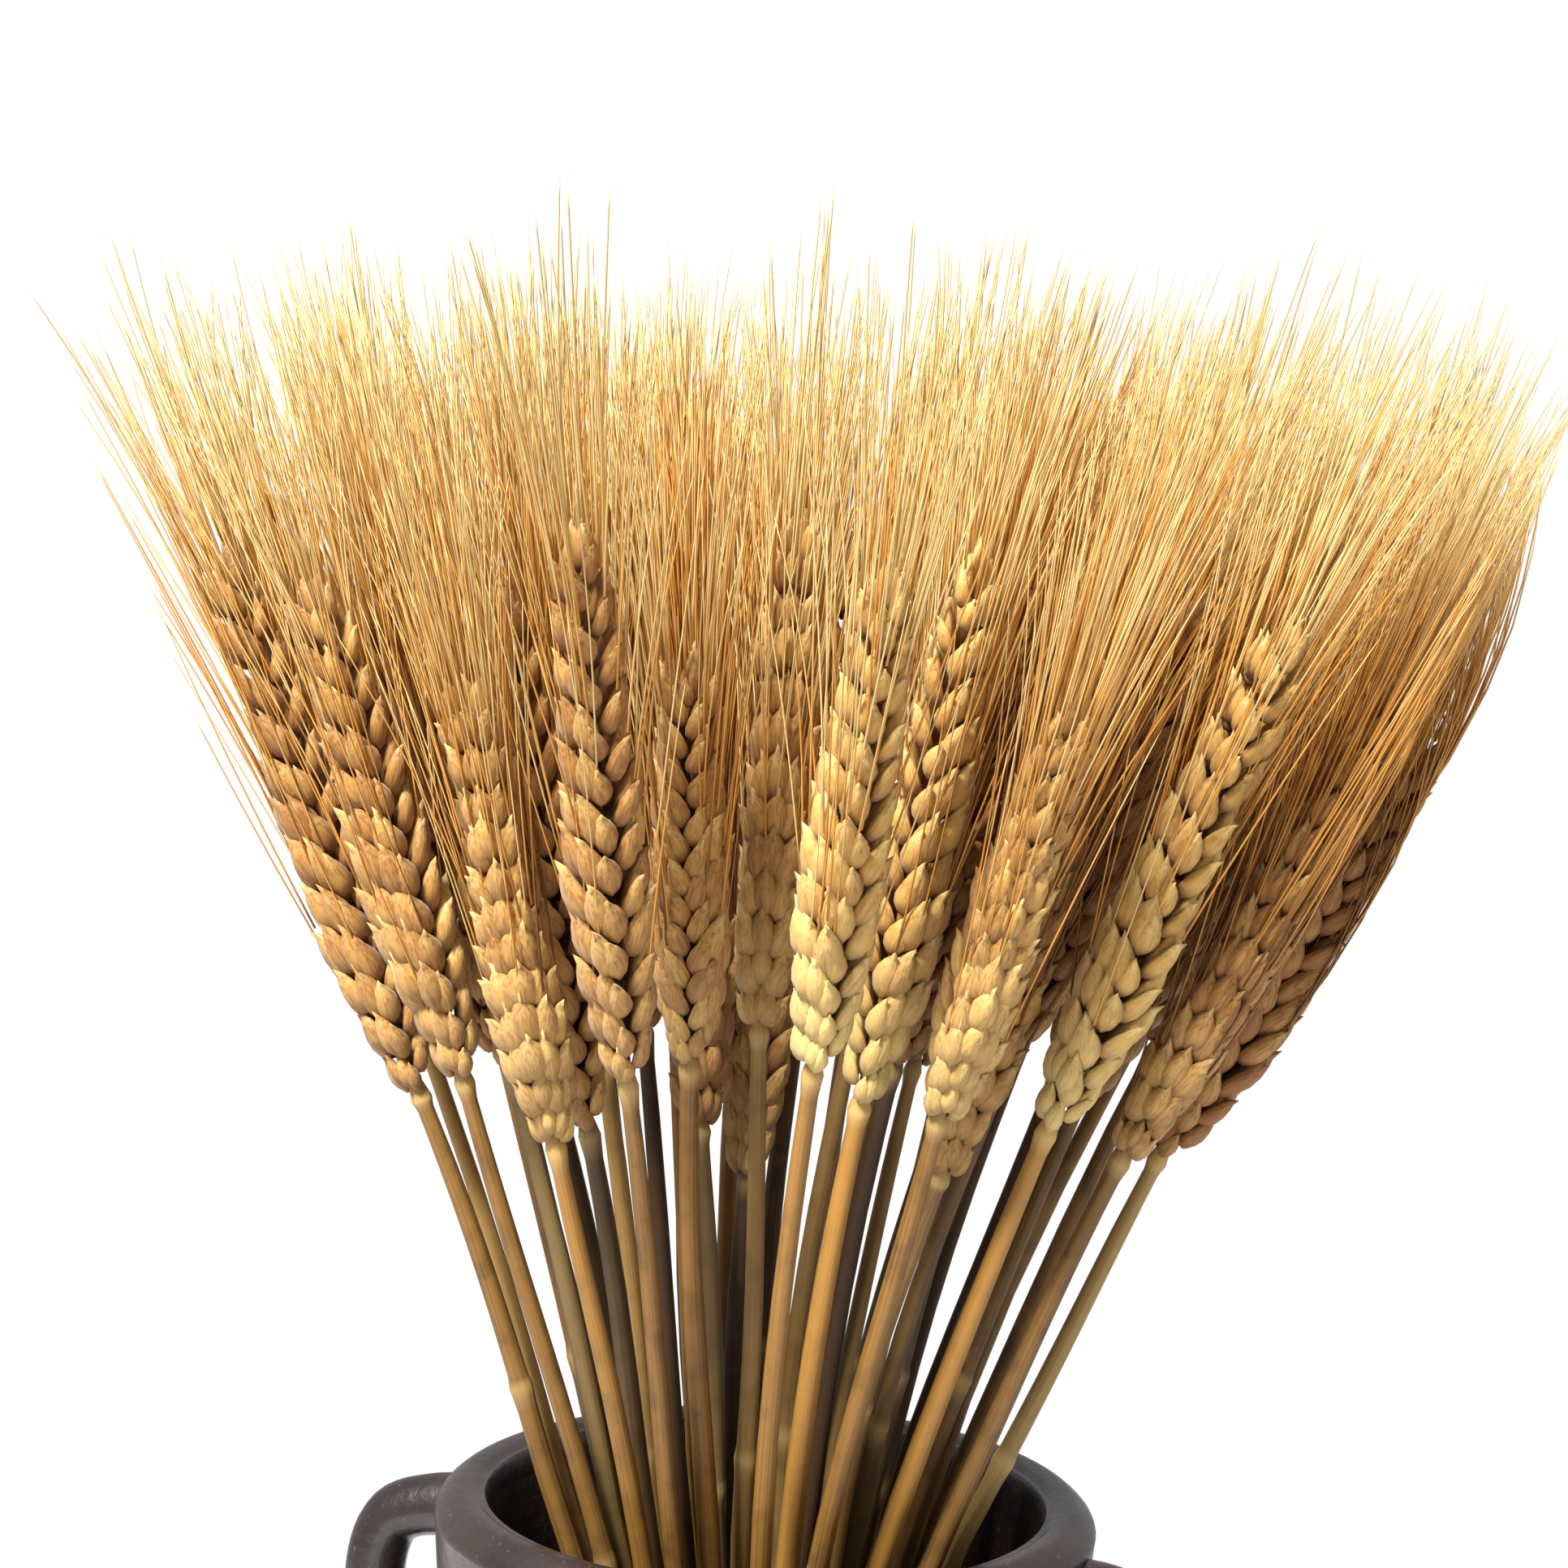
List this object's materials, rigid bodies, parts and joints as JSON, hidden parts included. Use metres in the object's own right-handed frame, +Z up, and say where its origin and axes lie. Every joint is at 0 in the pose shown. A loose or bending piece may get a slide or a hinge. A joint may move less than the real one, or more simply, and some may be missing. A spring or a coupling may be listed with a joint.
{
  "type": "bouquet of wheat ears in a jar",
  "caption": "Dried bearded wheat ears on their stalks, fanned out from the mouth of a dark glazed stoneware jar with two loop handles.",
  "frame": {"origin": "centre of the jar's flat foot, on the surface it stands on", "axes": "+Z up through the jar's mouth, -Y to the front, +X to the right seen from the front"},
  "size_m": [0.2386, 0.2106, 0.3683],
  "materials": {
    "jar": "dark purplish-brown stoneware, dull glaze with fine specks",
    "straw": "dry golden straw, matt, with a slight sheen on husks and bristles"
  },
  "bodies": {
    "root": {"jar": "jar", "handle_right": "jar", "handle_left": "jar", "stalk_01": "straw", "stalk_02": "straw", "stalk_03": "straw", "stalk_04": "straw", "stalk_05": "straw", "stalk_06": "straw", "stalk_07": "straw", "stalk_08": "straw", "stalk_09": "straw", "stalk_10": "straw", "stalk_11": "straw", "stalk_12": "straw", "stalk_13": "straw", "stalk_14": "straw", "stalk_15": "straw", "stalk_16": "straw", "stalk_17": "straw", "stalk_18": "straw", "stalk_19": "straw", "stalk_20": "straw", "stalk_21": "straw", "stalk_22": "straw", "stalk_23": "straw", "stalk_24": "straw", "stalk_25": "straw", "stalk_26": "straw", "stalk_27": "straw", "stalk_28": "straw", "stalk_29": "straw", "stalk_30": "straw", "stalk_31": "straw", "stalk_32": "straw", "stalk_33": "straw", "stalk_34": "straw", "stalk_35": "straw", "stalk_36": "straw", "stalk_37": "straw", "stalk_38": "straw", "stalk_39": "straw", "stalk_40": "straw", "stalk_41": "straw", "stalk_42": "straw", "stalk_43": "straw", "stalk_44": "straw"}
  },
  "joints": []
}
